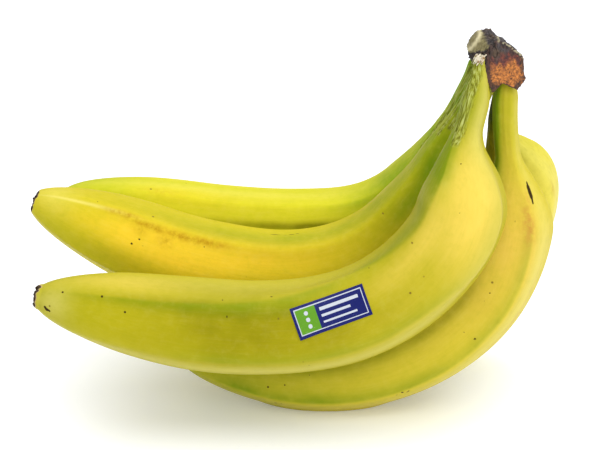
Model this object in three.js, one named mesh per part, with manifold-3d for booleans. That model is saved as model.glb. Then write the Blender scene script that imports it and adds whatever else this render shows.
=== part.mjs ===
// A cluster of five bananas on one crown, as a shop sells it, lying on its two lower fruits.
// Millimetres, +Z up, the floor at z = 0, the middle of the whole at x = y = 0.
// The crown is at +X, the fingertips point to -X, and the front of the cluster faces -Y.
import * as THREE from 'three';
import { mergeVertices } from 'three/addons/utils/BufferGeometryUtils.js';
import Module from 'manifold-3d';

const wasm = await Module();
wasm.setup();

// Each finger starts at the crown with a heading (pitch up from level, yaw away from the front, in
// degrees) and bends on its way to the tip. A bend is [from, to, turn in pitch, turn in yaw], with
// from and to in millimetres along the fruit. roll turns its five edges about its length.
const FINGERS = [
  {
    name: 'finger_front', colour: '#c6bf2f', start: [64, -16.6, 136.9], pitch: -94, yaw: -27,
    length: 225.5, body: 16.4, stem: 4.9, neck: [24, 56], taper: 67.7, roll: 4,
    bends: [[1, 20, -12, 5], [21, 42, 18, 0], [35, 74, -30, 22], [51, 145, -57.5, 0], [122, 194, -16.5, 0]],
  },
  {
    name: 'finger_middle', colour: '#c9b53a', start: [70.1, -3, 134], pitch: -112.5, yaw: 0,
    length: 220.6, body: 16, stem: 5, neck: [16, 74], taper: 65.2, roll: 0,
    bends: [[30, 51, 18, 0], [15, 154, -97.5, 0], [149, 175, -11.5, 0]],
  },
  {
    name: 'finger_back', colour: '#b9c233', start: [68.6, 5.8, 129.9], pitch: -112.9, yaw: 19.5,
    length: 209.1, body: 16.1, stem: 5, neck: [21, 72], taper: 52.9, roll: 0,
    bends: [[10, 63, 23.5, 8], [25, 117, -84, -31], [63, 200, -18.5, 5]],
  },
  {
    name: 'finger_lower_front', colour: '#c4bc38', start: [73.7, -14.4, 132.9], pitch: -92, yaw: 0.5,
    length: 210, body: 16, stem: 4.4, neck: [31, 62], taper: 70.1, roll: 7,
    bends: [[4, 48, 17, -0.5], [19, 151, -88, -1], [118, 195, -25.5, 6.5]],
  },
  {
    name: 'finger_lower_back', colour: '#bcc036', start: [76.2, -2.1, 129.1], pitch: -95.7, yaw: 26.5,
    length: 211.1, body: 16.6, stem: 4.1, neck: [29, 66], taper: 57.5, roll: 26,
    bends: [[21, 44, 31, 2], [48, 79, -27.5, -25], [47, 140, -62, 3], [111, 207, -44, 0]],
  },
];

// The five-sided cross-section of a banana.
const EDGES = 5;
const EDGE_SHARPNESS = 11;
const SECTION_SCALE = 0.955;
const SIDES = 20;
const STATIONS = 40;
const CROWDING = 1.3;
const MARCH = 0.5;

// Lengthwise form: the shoulder below the neck is a little slimmer than the middle of the fruit.
const SHOULDER = 0.93;
const SHOULDER_TO_MIDDLE = [60, 120];
const TIP_BLUNTNESS = 3;
const SCAR_WIDTHS = [0.66, 0.53];
const SCAR_HEIGHT = 1.4;

// The stalk narrows where it runs up into the crown.
const ROOT_WIDTH = 0.5;
const ROOT_LENGTH = 12;
const SOCKET_CLEARANCE = 0.35;
const SOCKET_LENGTH = 30;
const SOCKET_RINGS = 10;

// The bellies of the two lower fruits are pressed flat where they lie on the floor.
const PRESS = 0.8;

// Outlines of the crown seen from the front, as [x, z] corners from the lower left tip clockwise.
const CROWN_FACE = [
  [67.9, 125.8], [66.1, 130], [65.3, 136], [66.6, 141], [70.1, 143.4], [74.6, 140.6],
  [79.2, 137], [79.5, 131], [80.1, 129.5], [77.1, 126], [73.9, 127.6], [71.8, 128.6],
];
const CROWN_MIDDLE = [
  [65.6, 129.8], [61.6, 134.6], [59.8, 137.2], [61.8, 142.2], [66.2, 144.2], [72.6, 140.5],
  [79.1, 134.8], [79.6, 131], [79.6, 129], [77.1, 127.5], [73.6, 128], [69.6, 128.5],
];
const CROWN_BACK = [
  [65.6, 127.8], [62, 130.8], [60.8, 133.4], [62.1, 137], [66.1, 140.3], [70.6, 138.5],
  [75.6, 134], [77.6, 130.5], [77.6, 128], [75.6, 126], [72.6, 125.5], [69.1, 125.7],
];
// The knife cut in front: y at x = 73 and z = 129, and how it leans back upward and to the right.
const FACE_Y = -20.4;
const FACE_LEAN = [0.3, 0.35];
const FACE_REFERENCE = [73, 129];
// How far back the two other outlines and the rear end lie, as shares of the crown's depth.
const CROWN_DEPTH = 34.4;
const MIDDLE_SHARE = 0.42;
const BACK_SHARE = 0.82;
const CLOSING_SHARE = 0.75;
const CLOSED_AREA = 0.25;
const CROWN_CORE = [69, 132];
const CROWN_STATIONS = 16;
const CROWN_SIDES = 36;

// The paper label on the side of the front finger: its middle, its tilt and its size.
const LABEL = { along: 117.6, around: 124.2, tilt: 4.6, width: 27.2, height: 11.5, thickness: 0.3 };
const LABEL_GAP = 0.35;
const LABEL_STEPS = [12, 6];
const SHEET_ROUNDS = 10;

const rad = THREE.MathUtils.degToRad;
const SIDEWAYS = new THREE.Vector3(0, -1, 0);

function smooth(from, to, x) {
  return THREE.MathUtils.smoothstep(x, from, to);
}

// The line through the middle of a finger, marched from the crown along its changing heading.
class FingerLine {
  constructor(finger) {
    this.points = [new THREE.Vector3(...finger.start)];
    this.headings = [];
    const steps = Math.ceil(finger.length / MARCH) + 4;
    for (let i = 0; i <= steps; i += 1) {
      this.headings.push(FingerLine.heading(finger, i * MARCH));
      if (i > 0) {
        const step = this.headings[i].clone().add(this.headings[i - 1]).multiplyScalar(MARCH / 2);
        this.points.push(this.points[i - 1].clone().add(step));
      }
    }
  }

  static heading(finger, s) {
    let { pitch, yaw } = finger;
    for (const [from, to, pitchTurn, yawTurn] of finger.bends) {
      pitch += pitchTurn * smooth(from, to, s);
      yaw += yawTurn * smooth(from, to, s);
    }
    const level = Math.cos(rad(yaw));
    return new THREE.Vector3(level * Math.cos(rad(pitch)), Math.sin(rad(yaw)), level * Math.sin(rad(pitch)));
  }

  // Position and frame at s: out points to the convex side of the fruit, across toward the front.
  at(s) {
    const place = Math.max(0, s) / MARCH;
    const i = Math.min(Math.floor(place), this.points.length - 2);
    const along = this.headings[i].clone().lerp(this.headings[i + 1], place - i).normalize();
    const point = this.points[i].clone().lerp(this.points[i + 1], place - i);
    if (s < 0) {
      point.addScaledVector(along, s);
    }
    const out = new THREE.Vector3().crossVectors(SIDEWAYS, along).normalize();
    const across = new THREE.Vector3().crossVectors(along, out);
    return { point, along, out, across };
  }
}

// Mean radius of a finger at s: stalk, neck, shoulder, body and the rounding off to a blunt tip.
function girth(finger, s) {
  const body = smooth(...finger.neck, s) * (SHOULDER + (1 - SHOULDER) * smooth(...SHOULDER_TO_MIDDLE, s));
  const root = ROOT_WIDTH + (1 - ROOT_WIDTH) * smooth(0, ROOT_LENGTH, s);
  const left = (finger.length - s + TIP_BLUNTNESS) / (finger.taper + TIP_BLUNTNESS);
  const round = 1 - THREE.MathUtils.clamp(left, 0, 1);
  return (finger.stem + (finger.body - finger.stem) * body) * root * Math.sqrt(1 - round * round);
}

// Distance from the centre to the rounded pentagon in direction angle, for a mean radius of 1.
function section(angle) {
  let sum = 0;
  for (let k = 0; k < EDGES; k += 1) {
    const flat = ((k + 0.5) * 2 * Math.PI) / EDGES;
    sum += Math.max(0, Math.cos(angle - flat)) ** EDGE_SHARPNESS;
  }
  return SECTION_SCALE * sum ** (-1 / EDGE_SHARPNESS);
}

// Height above the floor once the fruit has settled on it.
function settle(z) {
  return Math.max(0, z - PRESS * (1 - smooth(0, 4 * PRESS, z)));
}

// Point on a finger at s and around (radians from the convex side toward the front). rho scales
// the radius and lift is added to it.
function surface(finger, line, s, around, rho = 1, lift = 0) {
  const { point, out, across } = line.at(s);
  const end = Math.min(s, finger.length);
  const radius = rho * (girth(finger, end) * section(around + rad(finger.roll)) + lift);
  point.addScaledVector(out, radius * Math.cos(around));
  point.addScaledVector(across, radius * Math.sin(around));
  return point;
}

// Bends a closed cylinder along a finger: one ring for each [s, width factor] of stations.
function bendCylinder(finger, stations, lift = 0) {
  const line = new FingerLine(finger);
  const geometry = new THREE.CylinderGeometry(1, 1, stations.length - 1, SIDES, stations.length - 1);
  const places = geometry.attributes.position;
  for (let i = 0; i < places.count; i += 1) {
    const ring = Math.round(places.getY(i) + (stations.length - 1) / 2);
    const [s, width] = stations[ring];
    const rho = Math.hypot(places.getX(i), places.getZ(i)) * width;
    const around = Math.atan2(places.getX(i), places.getZ(i)) - rad(finger.roll);
    const point = surface(finger, line, s, around, rho, lift);
    places.setXYZ(i, point.x, point.y, settle(point.z));
  }
  return welded(geometry);
}

function welded(geometry) {
  geometry.deleteAttribute('normal');
  geometry.deleteAttribute('uv');
  return mergeVertices(geometry, 1e-4);
}

// Rings from crown to tip, closer together toward the tip, with the dry scar of the flower last.
function fingerStations(finger) {
  const stations = [];
  for (let i = 0; i <= STATIONS; i += 1) {
    stations.push([finger.length * (1 - (1 - i / STATIONS) ** CROWDING), 1]);
  }
  stations.push([finger.length, SCAR_WIDTHS[0]]);
  stations.push([finger.length + SCAR_HEIGHT, SCAR_WIDTHS[1]]);
  return stations;
}

// Rings of the socket that a stalk sits in, a little wider and longer than the stalk.
function socketStations() {
  const stations = [];
  for (let i = 0; i <= SOCKET_RINGS; i += 1) {
    stations.push([(SOCKET_LENGTH * i) / SOCKET_RINGS - SOCKET_CLEARANCE, 1]);
  }
  return stations;
}

// Point at a share of the way round a closed polygon of corners.
function outlinePoint(corners, share) {
  const place = share * corners.length;
  const [x, z] = corners[Math.floor(place) % corners.length];
  const [nextX, nextZ] = corners[(Math.floor(place) + 1) % corners.length];
  const t = place - Math.floor(place);
  return [x + t * (nextX - x), z + t * (nextZ - z)];
}

// Point of the crown at a depth (0 at the knife cut, 1 at the rear end) and share of the way round.
// rho runs from 0 on the crown's core to 1 on its skin.
function crownPoint(depth, share, rho) {
  const face = outlinePoint(CROWN_FACE, share);
  const middle = outlinePoint(CROWN_MIDDLE, share);
  const back = outlinePoint(CROWN_BACK, share);
  const toMiddle = smooth(0, MIDDLE_SHARE, depth);
  const toBack = smooth(MIDDLE_SHARE, BACK_SHARE, depth);
  const closing = Math.sqrt(1 - (1 - CLOSED_AREA) * smooth(CLOSING_SHARE, 1, depth) ** 2);
  const [x, z] = CROWN_CORE.map((core, k) => {
    const skin = face[k] + toMiddle * (middle[k] - face[k]) + toBack * (back[k] - middle[k]);
    return core + (skin - core) * closing * rho;
  });
  const lean = FACE_LEAN[0] * (x - FACE_REFERENCE[0]) + FACE_LEAN[1] * (z - FACE_REFERENCE[1]);
  const y = FACE_Y + lean * (1 - smooth(0, CLOSING_SHARE, depth)) + depth * CROWN_DEPTH;
  return [x, y, z];
}

// The crown is a cylinder reshaped ring by ring, with its front cap as the knife cut.
function crownBody() {
  const geometry = new THREE.CylinderGeometry(1, 1, CROWN_STATIONS, CROWN_SIDES, CROWN_STATIONS);
  const places = geometry.attributes.position;
  for (let i = 0; i < places.count; i += 1) {
    const depth = 0.5 - places.getY(i) / CROWN_STATIONS;
    const rho = Math.hypot(places.getX(i), places.getZ(i));
    const turn = Math.atan2(places.getZ(i), places.getX(i)) / (2 * Math.PI);
    places.setXYZ(i, ...crownPoint(depth, (turn + 1) % 1, rho));
  }
  return welded(geometry);
}

function solidOf(geometry) {
  return new wasm.Manifold(new wasm.Mesh({
    numProp: 3,
    vertProperties: Float32Array.from(geometry.attributes.position.array),
    triVerts: Uint32Array.from(geometry.index.array),
  }));
}

function geometryOf(solid) {
  const mesh = solid.getMesh();
  const geometry = new THREE.BufferGeometry();
  geometry.setAttribute('position', new THREE.BufferAttribute(mesh.vertProperties, 3));
  geometry.setIndex(new THREE.BufferAttribute(mesh.triVerts, 1));
  return geometry;
}

// Lays a flat sheet on a finger: finds s and around so that the surface point, seen square to the
// sheet, lies a along and b across from the sheet's middle.
class Sheet {
  constructor(finger, line) {
    this.finger = finger;
    this.line = line;
    this.around = rad(LABEL.around);
    this.middle = surface(finger, line, LABEL.along, this.around);
    const across = surface(finger, line, LABEL.along, this.around + 0.01).sub(this.middle).normalize();
    const along = surface(finger, line, LABEL.along - 1, this.around).sub(this.middle).normalize();
    const tilt = rad(LABEL.tilt);
    this.tilt = [Math.cos(tilt), Math.sin(tilt)];
    this.right = along.clone().multiplyScalar(this.tilt[0]).addScaledVector(across, this.tilt[1]);
    this.up = across.clone().multiplyScalar(this.tilt[0]).addScaledVector(along, -this.tilt[1]);
  }

  point(a, b, lift) {
    let s = LABEL.along;
    let { around } = this;
    for (let round = 0; round < SHEET_ROUNDS; round += 1) {
      const offset = surface(this.finger, this.line, s, around).sub(this.middle);
      const missingA = a - offset.dot(this.right);
      const missingB = b - offset.dot(this.up);
      s -= missingA * this.tilt[0] - missingB * this.tilt[1];
      around += (missingA * this.tilt[1] + missingB * this.tilt[0]) / this.finger.body;
    }
    return surface(this.finger, this.line, s, around, 1, lift);
  }
}

function labelBody(finger) {
  const sheet = new Sheet(finger, new FingerLine(finger));
  const geometry = new THREE.BoxGeometry(LABEL.width, LABEL.height, 1, ...LABEL_STEPS, 1);
  const places = geometry.attributes.position;
  for (let i = 0; i < places.count; i += 1) {
    const lift = LABEL_GAP + (places.getZ(i) + 0.5) * LABEL.thickness;
    const point = sheet.point(places.getX(i), places.getY(i), lift);
    places.setXYZ(i, point.x, point.y, point.z);
  }
  return welded(geometry);
}

function piece(name, geometry, colour, roughness) {
  const material = new THREE.MeshStandardMaterial({ color: colour, roughness, metalness: 0 });
  const mesh = new THREE.Mesh(geometry, material);
  mesh.name = name;
  return mesh;
}

const group = new THREE.Group();

for (const finger of FINGERS) {
  group.add(piece(finger.name, bendCylinder(finger, fingerStations(finger)), finger.colour, 0.45));
}

let crown = solidOf(crownBody());
for (const finger of FINGERS) {
  crown = crown.subtract(solidOf(bendCylinder(finger, socketStations(), SOCKET_CLEARANCE)));
}
group.add(piece('crown', geometryOf(crown), '#5b3a26', 0.8));
group.add(piece('label', labelBody(FINGERS[0]), '#26357a', 0.4));

export default group;
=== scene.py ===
import math

import bpy
import numpy as np
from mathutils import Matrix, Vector


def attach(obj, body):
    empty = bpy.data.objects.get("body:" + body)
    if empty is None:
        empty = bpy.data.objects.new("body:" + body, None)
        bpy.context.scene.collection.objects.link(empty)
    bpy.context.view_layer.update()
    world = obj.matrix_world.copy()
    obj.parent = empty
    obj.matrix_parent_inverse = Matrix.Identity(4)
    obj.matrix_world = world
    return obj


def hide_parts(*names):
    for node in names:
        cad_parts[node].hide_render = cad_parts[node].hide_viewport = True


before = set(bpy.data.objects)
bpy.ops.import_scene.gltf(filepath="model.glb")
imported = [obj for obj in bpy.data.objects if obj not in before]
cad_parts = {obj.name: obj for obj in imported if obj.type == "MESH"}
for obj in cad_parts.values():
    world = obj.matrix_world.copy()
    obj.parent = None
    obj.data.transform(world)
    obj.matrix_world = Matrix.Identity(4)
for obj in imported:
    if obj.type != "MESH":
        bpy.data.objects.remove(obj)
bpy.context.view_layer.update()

# The camera of the photograph. A long lens about 80 cm away looks down on the bunch by 20 degrees,
# square to its labelled front.
EYE = Vector((-0.0001, -0.75725, 0.3433))
AIM = Vector((-0.0001, -0.0055, 0.0697))
lens = bpy.data.cameras.new("camera")
lens.sensor_width = 36
lens.lens = 129.73
lens.clip_start = 0.05
lens.clip_end = 50
camera = bpy.data.objects.new("camera", lens)
camera.location = EYE
camera.rotation_euler = (AIM - EYE).to_track_quat("-Z", "Y").to_euler()
bpy.context.scene.collection.objects.link(camera)
bpy.context.scene.camera = camera
bpy.context.scene.view_settings.view_transform = "Standard"


# The front fruit of the upper row, with its stalk and the dry scar of its flower. It grew as one
# piece: a tapered rod of five soft edges that bends where its own weight and the light turned it.
MM = 0.001

# Millimetres and degrees. Along is measured from the fruit's root in the crown to its tip, and
# around from its convex side toward the front.
FRONT = {
    # The seed is for the fruit's own fine relief.
    "name": "front", "seed": 11,
    # The middle line: start, heading and length, and bends as [from, to, turn in pitch, in yaw].
    "start": [64, -16.6, 136.9], "pitch": -94, "yaw": -27, "length": 225.5,
    "bends": [[1, 20, -12, 5], [21, 42, 18, 0], [35, 74, -30, 22], [51, 145, -57.5, 0],
              [122, 194, -16.5, 0]],
    # Radii of body and stalk, how far up the root is pinched, from where to where the neck
    # widens, and the length over which the tip rounds off.
    "body": 16.4, "stem": 4.9, "root": 18, "neck": [24, 56], "taper": 67.7,
    # The turn of the section, how marked its edges are, and how far the scar domes, as shares.
    "roll": 4, "edges": 0.72, "dome": 1,
    # Where an edge wanders off its regular place: [along, around, reach, turn].
    "drift": [[108, 160, 38, -21], [42, 132, 14, 9], [202, 140, 28, 7], [57, 45, 22, 30],
              [215, 55, 18, 14]],
    # Where the flesh fills out: [along, around, reach along, reach around, height].
    "fills": [[41, 195, 10, 40, 1.6]],
    # Colour blown on in soft patches: [along, around, reach along, reach around, amount].
    # The green patch left of the stalk is partly green skin and partly painted shade of the crevice
    # beside the middle fruit.
    "green": [[0, 150, 56, 75, 0.5], [22, 172, 34, 34, 0.55], [38, 126, 13, 12, 0.3],
              [88, 176, 30, 26, 0.25], [150, 140, 18, 10, 0.2], [222, 110, 18, 200, 0.2],
              [14, 90, 20, 60, 0.25]],
    # The olive patches are partly olive skin and partly painted shade: the broad one in the middle
    # of the side darkens it as a side turned from the light, and the narrow one under the upper
    # edge paints that facet's shade.
    "olive_and_painted_shade": [[152, 110, 34, 34, 0.7], [112, 96, 26, 26, 0.3], [155, 168, 34, 22, 0.3],
             [162, 76, 36, 16, 0.25], [160, 134, 44, 10, 0.5]],
    "golden": [[50, 90, 20, 46, 1.1], [92, 80, 30, 40, 0.15], [198, 168, 22, 22, 0.45],
               [74, 130, 26, 16, 0.6]],
    "pale": [[130, 40, 90, 20, 0.55], [221, 104, 6, 40, 0.5], [160, 186, 70, 30, 0.2],
             [22, 60, 22, 30, 0.5]],
    # Green beside an edge: [edge, side of it, reach, from, to, amount].
    # The last band, above the upper edge near the stalk, also paints the shade of the facet there.
    "bands": [[144, -1, 12, 96, 222, 0.6], [72, 1, 12, 60, 190, 0.45],
              [144, 1, 30, 8, 116, 0.38]],
    # Skin rubbed brown: [along, around, reach along, reach around, amount].
    "scuffs": [],
    # Brown dots: [along, around, radius].
    "dots": [[218, 134, 0.55], [204, 132, 0.6], [195, 115, 0.6], [158, 127, 0.55],
             [160, 147, 0.5], [141, 153, 0.6], [39, 103, 0.5], [54, 99, 0.35],
             [95, 157, 0.4], [67, 27, 0.5], [85, 87, 0.35], [131, 69, 0.5]],
    # Dead skin in strips: [half width, [along, around], ...].
    "strips": [[1.7, [3, 112], [8, 118], [16, 130], [25, 133], [31, 130]],
               [1.1, [4, 150], [12, 160], [20, 160], [28, 150]]],
    # Cracks and scabs, brown to the bottom: [half width, [along, around], ...].
    "cuts": [[0.5, [222.4, 76], [223.2, 82]], [0.4, [221.3, 77], [222.9, 80]]],
}


def smooth(start, end, x):
    """Goes from 0 at start to 1 at end, whichever of them is larger, along a cubic with level
    ends."""
    t = np.clip((x - start) / (end - start), 0, 1)
    return t * t * (3 - 2 * t)


def bell(distance, reach):
    """A bell curve: 1 at no distance, 0.37 at the reach."""
    return np.exp(-(distance / reach) ** 2)


def turn_between(a, b):
    """The shorter way round from angle b to angle a, in degrees."""
    return (a - b + 180) % 360 - 180


# How many plane waves make a ripple.
WAVES = 28


def ripples(points, size, seed):
    """Smooth random relief of about -1 to 1: the sum of plane waves that are about size long and
    run in random directions."""
    rng = np.random.default_rng(seed)
    directions = rng.normal(size=(WAVES, 3))
    directions /= np.linalg.norm(directions, axis=1, keepdims=True)
    waves = directions * rng.uniform(0.7, 1.5, (WAVES, 1)) * 2 * np.pi / size
    return np.cos(points @ waves.T + rng.uniform(0, 2 * np.pi, WAVES)).sum(-1) / math.sqrt(WAVES)


# The step along the middle line.
MARCH = 0.5


def centre_line(fruit, s):
    """Middle of the fruit at s and the two directions square to it. The heading is summed step by
    step from the root to a little past the tip; out points to the convex side and across toward
    the front."""
    march = np.arange(0, fruit["length"] + 8 * MARCH, MARCH)
    pitch = fruit["pitch"] + sum(b[2] * smooth(b[0], b[1], march) for b in fruit["bends"])
    yaw = fruit["yaw"] + sum(b[3] * smooth(b[0], b[1], march) for b in fruit["bends"])
    pitch, yaw = np.radians(pitch), np.radians(yaw)
    heading = np.stack([np.cos(yaw) * np.cos(pitch), np.sin(yaw), np.cos(yaw) * np.sin(pitch)], -1)
    steps = np.cumsum((heading[1:] + heading[:-1]) * MARCH / 2, axis=0)
    line = np.array(fruit["start"]) + np.vstack([np.zeros(3), steps])
    centre = np.stack([np.interp(s, march, line[:, k]) for k in range(3)], -1)
    along = np.stack([np.interp(s, march, heading[:, k]) for k in range(3)], -1)
    along /= np.linalg.norm(along, axis=-1, keepdims=True)
    out = np.cross([0, -1, 0], along)
    out /= np.linalg.norm(out, axis=-1, keepdims=True)
    return centre, out, np.cross(along, out)


# A stalk is half as wide at its root. The shoulder below the neck is a little slimmer than the
# body, which is reached over the run, and the tip stops short of a point.
ROOT_WIDTH = 0.5
SHOULDER = 0.93
SHOULDER_RUN = [60, 120]
TIP_BLUNTNESS = 3


def girth(fruit, s):
    """Mean radius at s: the stalk swells through the neck and shoulder to the body, and an
    ellipse rounds it off to a blunt tip."""
    swell = smooth(*fruit["neck"], s) * (SHOULDER + (1 - SHOULDER) * smooth(*SHOULDER_RUN, s))
    root = ROOT_WIDTH + (1 - ROOT_WIDTH) * smooth(0, fruit["root"], s)
    left = (fruit["length"] - s + TIP_BLUNTNESS) / (fruit["taper"] + TIP_BLUNTNESS)
    rounding = np.sqrt(1 - (1 - np.clip(left, 0, 1)) ** 2)
    return (fruit["stem"] + (fruit["body"] - fruit["stem"]) * swell) * root * rounding


# How far round the wandering of an edge is felt.
DRIFT_REACH = 30


def turned(fruit, s, around):
    """The angle in the five-sided section, with the wandering of its edges added in soft bumps."""
    angle = around + fruit["roll"]
    for along, place, reach, turn in fruit["drift"]:
        wander = bell(s - along, reach) * bell(turn_between(around, place), DRIFT_REACH)
        angle = angle + turn * wander
    return angle


# The edges are rounded by a high power, and the scale brings the mean radius back to 1.
EDGES = 5
EDGE_ANGLE = 360 / EDGES
EDGE_SHARPNESS = 11
SECTION_SCALE = 0.955


def section(angle):
    """Radius of a rounded pentagon of mean radius 1: the inverse of a high-power mean of how far
    the direction leans toward each of its five flats."""
    total = 0
    for k in range(EDGES):
        lean = np.cos(np.radians(angle - (k + 0.5) * EDGE_ANGLE))
        total = total + np.maximum(0, lean) ** EDGE_SHARPNESS
    return SECTION_SCALE * total ** (-1 / EDGE_SHARPNESS)


def straightened(fruit, s, around):
    """Where the point would be if the fruit were straight: along, and the two ways across."""
    radius = girth(fruit, np.minimum(s, fruit["length"]))
    theta = np.radians(around)
    return np.stack([s, radius * np.cos(theta), radius * np.sin(theta)], -1)


def strip_field(fruit, strips, s, around):
    """1 along the middle of each strip on the skin, falling straight to 0 at twice its half width.
    The distance is measured on the unrolled skin."""
    field = np.zeros(np.shape(s))
    radius = np.radians(girth(fruit, s))
    for half_width, *path in strips:
        for (s0, a0), (s1, a1) in zip(path[:-1], path[1:]):
            x, y = s - s0, turn_between(around, a0) * radius
            dx, dy = s1 - s0, (a1 - a0) * radius
            t = np.clip((x * dx + y * dy) / (dx * dx + dy * dy), 0, 1)
            away = np.hypot(x - t * dx, y - t * dy)
            field = np.maximum(field, 1 - away / (2 * half_width))
    return field


# Relief of the skin: the rib on each edge, with its reach in degrees, and the swellings of the
# flesh, the flutes of the stalk and the scales of dead skin, as [height, size, share of a step
# along the fruit that counts, which stretches them].
RIB_HEIGHT = 0.22
RIB_REACH = 7
SWELLINGS = [0.06, 16, 0.5]
FLUTES = [0.05, 2.2, 0.06]
SCALES = [0.14, 1.6, 0.3]
# The section grows rounder over the last stretch, by this share.
ROUNDED_STRETCH = 35
ROUNDED_SHARE = 0.6
# Where the stalk's relief fades out and the body's fades in, and how far before the tip the
# body's fades out again.
STALK_END = [35, 75]
BODY_START = [30, 80]
BODY_END = [5, 30]
# The most by which a belly is pressed flat where it lies on the floor.
PRESS = 0.8


def peel_point(fruit, s, around, lift=0):
    """Point of the skin at s and around, lifted off it by lift. Its distance from the middle line
    is the girth times the section, which is softened toward a circle, plus the relief. What would
    hang below the floor is pressed flat."""
    centre, out, across = centre_line(fruit, s)
    angle = turned(fruit, s, around)
    edge = (angle + EDGE_ANGLE / 2) % EDGE_ANGLE - EDGE_ANGLE / 2
    place = straightened(fruit, s, around)
    length = fruit["length"]
    on_body = smooth(*BODY_START, s) * smooth(*BODY_END, length - s)
    on_stalk = 1 - smooth(*STALK_END, s)
    dead = np.clip(2 * strip_field(fruit, fruit["strips"], s, around), 0, 1)
    relief = RIB_HEIGHT * bell(edge, RIB_REACH) * on_body
    for along, where, reach_along, reach_around, height in fruit["fills"]:
        away = turn_between(around, where)
        relief = relief + height * bell(s - along, reach_along) * bell(away, reach_around)
    patterns = ((SWELLINGS, on_body), (FLUTES, on_stalk), (SCALES, dead))
    for draw, ((height, size, step), where) in enumerate(patterns):
        wave = ripples(place * [step, 1, 1], size, fruit["seed"] + draw)
        relief = relief + height * where * wave
    edged = fruit["edges"] * (1 - ROUNDED_SHARE * smooth(length - ROUNDED_STRETCH, length, s))
    radius = girth(fruit, s) * (1 + edged * (section(angle) - 1)) + relief + lift
    theta = np.radians(around)
    point = centre + (radius * np.cos(theta))[..., None] * out
    point = point + (radius * np.sin(theta))[..., None] * across
    z = point[..., 2]
    point[..., 2] = np.maximum(0, z - PRESS * (1 - smooth(0, 4 * PRESS, z)))
    return point


def raggedness(fruit, around):
    """Height of the torn rim of the scar round the tip, about -1 to 1: a few uneven lobes."""
    ring = np.stack([np.cos(np.radians(around)), np.sin(np.radians(around)), 0 * around], -1)
    lobes, nicks = ripples(ring, 1.3, fruit["seed"] + 3), ripples(ring, 0.4, fruit["seed"] + 4)
    return 0.6 * lobes + 0.4 * nicks


def closed_mesh(name, rings):
    """A skin through rings of points, closed round and closed at both ends by a fan to the mean of
    the end ring. rings is rows by sides by 3, in millimetres."""
    rows, sides = rings.shape[:2]
    grid = np.arange(rows * sides).reshape(rows, sides)
    near, far = grid[:-1], grid[1:]
    quads = np.stack([near, far, np.roll(far, -1, 1), np.roll(near, -1, 1)], -1).reshape(-1, 4)
    first, last = rows * sides, rows * sides + 1
    fan = np.stack([np.full(sides, first), grid[0], np.roll(grid[0], -1)], -1)
    end_fan = np.stack([np.full(sides, last), np.roll(grid[-1], -1), grid[-1]], -1)
    points = np.vstack([rings.reshape(-1, 3), rings[0].mean(0), rings[-1].mean(0)]) * MM
    mesh = bpy.data.meshes.new(name)
    mesh.from_pydata(points, [], quads.tolist() + fan.tolist() + end_fan.tolist())
    mesh.shade_smooth()
    return mesh


def paint(mesh, name, field):
    """Stores one number or one vector a ring point as a point attribute. The two end points take
    the mean of the ring beside them."""
    values = np.asarray(field, dtype=float)
    ends = [np.ravel(ring.mean(0)) for ring in (values[0], values[-1])]
    kind, key = ("FLOAT", "value") if values.ndim == 2 else ("FLOAT_VECTOR", "vector")
    attribute = mesh.attributes.new(name, kind, "POINT")
    attribute.data.foreach_set(key, np.concatenate([values.ravel(), *ends]))


def linear(code):
    """An sRGB hex code as linear red, green, blue and alpha."""
    parts = np.array([int(code[k:k + 2], 16) / 255 for k in (1, 3, 5)])
    rgb = np.where(parts <= 0.04045, parts / 12.92, ((parts + 0.055) / 1.055) ** 2.4)
    return (*rgb.tolist(), 1)


def add(tree, kind, inputs=(), out=0, stops=(), **settings):
    """Adds a shader node and gives back its output called out. settings are its properties, and
    stops the places and colours of a ramp. inputs are its sockets by name or number: another
    node's output is linked, a hex code is made linear, and anything else is the value."""
    node = tree.nodes.new("ShaderNode" + kind)
    for name, value in settings.items():
        setattr(node, name, value)
    for name, value in dict(inputs).items():
        if isinstance(value, bpy.types.NodeSocket):
            tree.links.new(value, node.inputs[name])
        else:
            node.inputs[name].default_value = linear(value) if isinstance(value, str) else value
    for k, (place, code) in enumerate(stops):
        ramp = node.color_ramp.elements
        stop = ramp[k] if k < len(ramp) else ramp.new(place)
        stop.position = place
        stop.color = linear(code)
    return node.outputs[out] if node.outputs else None


def new_material(name):
    """A material with no nodes yet, and its node tree."""
    material = bpy.data.materials.new(name)
    material.use_nodes = True
    material.node_tree.nodes.clear()
    return material, material.node_tree


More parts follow.
